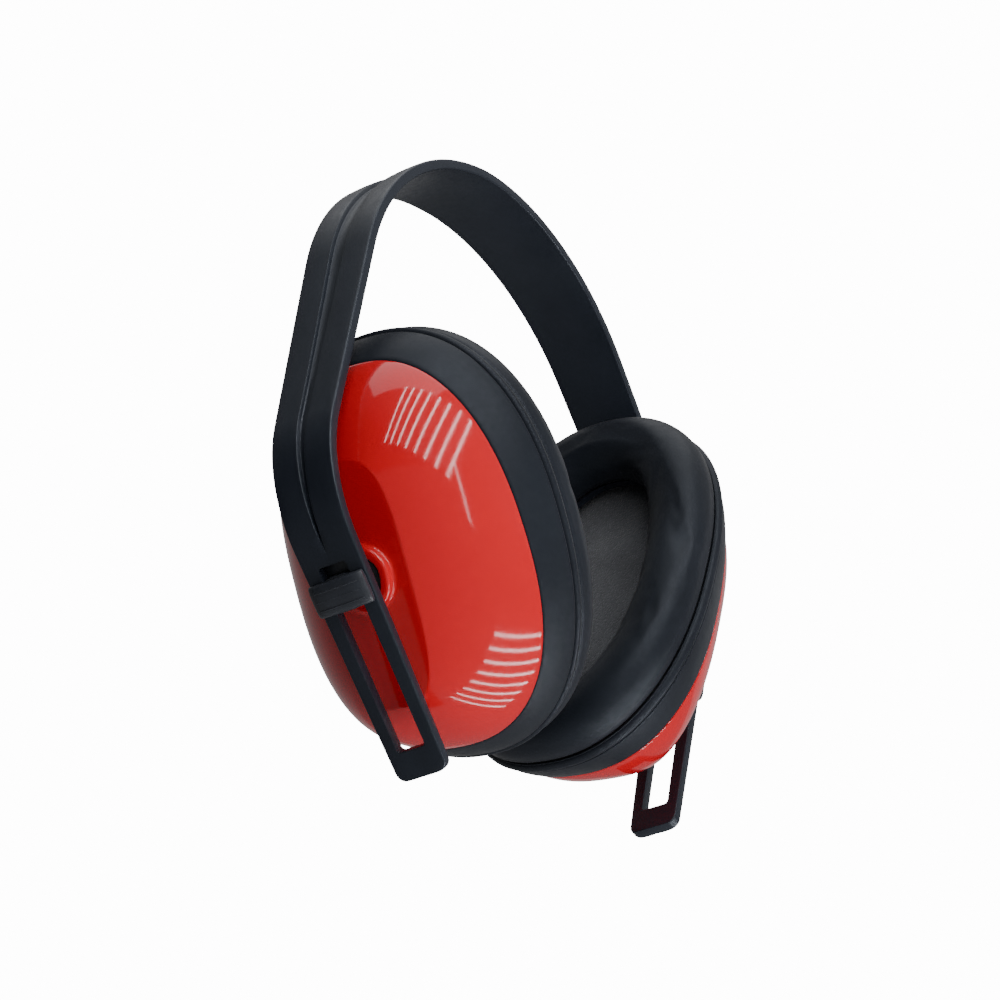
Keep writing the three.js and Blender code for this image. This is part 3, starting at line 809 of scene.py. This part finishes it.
def sweep_tree():
    """Sweeps a round bead along a closed edge line."""
    tree = bpy.data.node_groups.new("weld_bead", "GeometryNodeTree")
    tree.interface.new_socket("Geometry", in_out="INPUT", socket_type="NodeSocketGeometry")
    for label, kind in (("Radius", "NodeSocketFloat"), ("Material", "NodeSocketMaterial")):
        tree.interface.new_socket(label, in_out="INPUT", socket_type=kind)
    tree.interface.new_socket("Geometry", in_out="OUTPUT", socket_type="NodeSocketGeometry")
    n, l = tree.nodes, tree.links
    start, end = n.new("NodeGroupInput"), n.new("NodeGroupOutput")
    curve, sweep = n.new("GeometryNodeMeshToCurve"), n.new("GeometryNodeCurveToMesh")
    profile = n.new("GeometryNodeCurvePrimitiveCircle")
    profile.inputs["Resolution"].default_value = 8
    l.new(start.outputs["Geometry"], curve.inputs["Mesh"])
    l.new(start.outputs["Radius"], profile.inputs["Radius"])
    l.new(curve.outputs["Curve"], sweep.inputs["Curve"])
    l.new(profile.outputs["Curve"], sweep.inputs["Profile Curve"])
    real, paint = n.new("GeometryNodeRealizeInstances"), n.new("GeometryNodeSetMaterial")
    l.new(sweep.outputs["Mesh"], real.inputs["Geometry"])
    l.new(real.outputs["Geometry"], paint.inputs["Geometry"])
    l.new(start.outputs["Material"], paint.inputs["Material"])
    l.new(paint.outputs["Geometry"], end.inputs["Geometry"])
    return tree


weld_bead = sweep_tree()
for side in ("left", "right"):
    skirt = loft(f"{side}_skirt_skin", on_cup(skirt_rings, side), loop=True)
    skirt.data.materials.append(vinyl)
    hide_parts(f"{side}_cushion_skirt")
    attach(skirt, f"{side}_cup")

    track = on_cup([outline(**{**seam, "depth": seam["depth"] + 0.95}, inset=0.75)], side)[0] / 1000
    line = bpy.data.meshes.new("weld_line")
    line.from_pydata(track.tolist(), [(i, (i + 1) % len(track)) for i in range(len(track))], [])
    bead = bpy.data.objects.new(f"{side}_weld_bead", line)
    bpy.context.scene.collection.objects.link(bead)
    run_tree(bead, weld_bead, Radius=0.0002, Material=vinyl)
    smooth_all(bead)
    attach(bead, f"{side}_cup")

# --- Cushions ----------------------------------------------------------------------------------
# A stiff flat ring snaps into the cup and carries a ring of soft foam. A thin vinyl cover is
# stretched over the foam and welded to the skirt all round, which puckers it a little there.

cushion_depth, cushion_ring = 12.2, 17.6
base_thickness, collar_depth = 1.8, 4.0


def seam_ring(inset, deeper):
    """The seam's outline, made smaller and moved towards the head."""
    return outline(**{**seam, "depth": seam["depth"] + deeper}, inset=inset)


def cushion_section():
    """The cover before it fills: (inset, depth) points over the arch and back along its foot."""
    foot = skin + fit
    ring = cushion_ring - 0.8
    section = []
    for i in range(33):
        a = math.pi * i / 32
        inset = 0.4 + (ring / 2) * (1 - math.cos(a)) - 0.8 * math.sin(a) ** 2 * max(0, math.cos(a))
        section.append((inset, foot + (cushion_depth - 0.9) * math.sin(a) ** 0.72))
    for share in (0.75, 0.5, 0.25):
        section.append((0.4 + ring * share, foot))
    return section


# Open-cell foam: dark grey and rough, with small pores
grey_foam, nodes, links, shader, place = new_material("grey_foam")
cloudy = add_noise(nodes, links, place, 70, 4)
pores = nodes.new("ShaderNodeTexVoronoi")
pores.inputs["Scale"].default_value = 1500
links.new(place, pores.inputs["Vector"])
fuzz = add_noise(nodes, links, place, 3200, 4, 0.7)
open_cell = spread(nodes, links, pores.outputs["Distance"], 0.0, 0.6, 0.0, 1.0)
links.new(ramp(nodes, links, cloudy, 0.3, 0.7, (0.048, 0.051, 0.058), (0.074, 0.078, 0.087)),
          shader.inputs["Base Color"])
texture = add_bump(nodes, links, open_cell, 0.5, 0.0003)
links.new(add_bump(nodes, links, fuzz, 0.3, 0.0002, texture), shader.inputs["Normal"])
shader.inputs["Roughness"].default_value = 0.95
shader.inputs["Sheen Weight"].default_value = 0.2

# The cover is simulated as inflated cloth, held at its weld and along its foot
last_frame = 20
most_move = 0.0010
for side in ("left", "right"):
    section = cushion_section()
    cover = loft(f"{side}_cushion_skin", on_cup([seam_ring(*p) for p in section], side), loop=True)
    before = np.empty(len(cover.data.vertices) * 3)
    cover.data.vertices.foreach_get("co", before)
    before = before.reshape(-1, 3)
    held = cover.vertex_groups.new(name="welded")
    held.add([j * cup_steps + i for j in [0, 1] + list(range(31, len(section)))
              for i in range(cup_steps)], 1.0, "REPLACE")
    cloth = cover.modifiers.new("cloth", "CLOTH")
    made = cloth.settings
    made.quality = 6
    made.mass = 0.05
    made.tension_stiffness = made.compression_stiffness = made.shear_stiffness = 12
    made.bending_stiffness = 0.02
    made.vertex_group_mass = "welded"
    made.use_pressure = True
    made.uniform_pressure_force = 4
    made.shrink_min = -0.008
    made.effector_weights.gravity = 0
    cloth.point_cache.frame_start, cloth.point_cache.frame_end = 1, last_frame
    for number in range(1, last_frame + 1):
        bpy.context.scene.frame_set(number)
    evaluated = cover.evaluated_get(bpy.context.evaluated_depsgraph_get())
    after = np.empty(len(before) * 3)
    evaluated.data.vertices.foreach_get("co", after)
    after = after.reshape(-1, 3)
    cover.modifiers.clear()
    cover.vertex_groups.clear()
    bpy.context.scene.frame_set(1)
    move = after - before
    length = np.linalg.norm(move, axis=1, keepdims=True)
    move *= most_move * np.tanh(length / most_move) / np.maximum(length, 1e-9)
    cover.data.vertices.foreach_set("co", (before + move).ravel())
    thicken = cover.modifiers.new("thicken", "SOLIDIFY")
    thicken.thickness, thicken.offset = 0.0008, -1
    bake(cover)
    round_off = cover.modifiers.new("round_off", "SUBSURF")
    round_off.levels = round_off.render_levels = 1
    bake(cover)
    smooth_all(cover)
    cover.data.materials.clear()
    cover.data.materials.append(vinyl)
    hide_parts(f"{side}_cushion_cover")
    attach(cover, f"{side}_cup")

    edge, hole = seam_grip + fit, cushion_ring - skin - fit
    front, rear = skin, skin - base_thickness
    base = loft(f"{side}_cushion_plate", on_cup([seam_ring(*p) for p in (
        (edge, front), ((edge + hole) / 2, front), (hole, front), (hole, rear), (8, rear), (6.2, rear),
        (8, rear - collar_depth), (6.4, rear - collar_depth), (4.4, rear), (edge, rear),
    )], side), loop=True)
    smooth_by_angle(base, 30)
    base.data.materials.append(band_plastic)
    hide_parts(f"{side}_cushion_base")
    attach(base, f"{side}_cup")

    core = []
    for i in range(25):
        a = math.pi * i / 24
        core.append((2.5 + (cushion_ring - 5) / 2 * (1 - math.cos(a)),
                     skin + fit + 1 + (cushion_depth - 3.4) * math.sin(a) ** 0.75))
    foam = loft(f"{side}_foam_core", on_cup([seam_ring(*p) for p in core], side), loop=True)
    smooth_by_angle(foam, 50)
    foam.data.materials.append(grey_foam)
    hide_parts(f"{side}_cushion_foam")
    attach(foam, f"{side}_cup")

# --- Foam liners -------------------------------------------------------------------------------
# A die-cut pad of soft open-cell foam lies in the bottom of each cup. Its face is slightly
# dished, its edge is soft, and small uneven dents show where it has been pressed.

liner = dict(depth=32.5, a=28.6, b=43.3, p=2.3, egg=0, up=1.5)
liner_thickness = 6.5
for side in ("left", "right"):
    rings = []
    for depth, inset in ((0, 24), (0, 12), (0, 4), (0.1, 1.6), (0.5, 0.7), (1.5, 0.1), (3.2, 0),
                         (5.0, 0.1), (5.9, 0.5), (6.4, 1.3), (liner_thickness, 2.6)):
        rings.append(outline(**{**liner, "depth": liner["depth"] + depth}, inset=inset))
    for inset in (4, 6, 8, 10, 13, 16, 19, 22, 24.5, 26.5, 27.8):
        rings.append(outline(**{**liner, "depth": liner["depth"] + liner_thickness}, inset=inset))
    for i, ring in enumerate(rings[9:]):
        inward = min(1.0, i / 5)
        for p in ring:
            dent = noise.noise(Vector((0.09 * p[1] + 7, 0.09 * p[2], 3 if side == "left" else 9)))
            p[0] += inward * (0.5 + 0.55 * dent)
    pad = loft(f"{side}_foam_pad", on_cup(rings, side))
    pad.data.materials.append(grey_foam)
    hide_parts(f"{side}_ear_foam")
    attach(pad, f"{side}_cup")
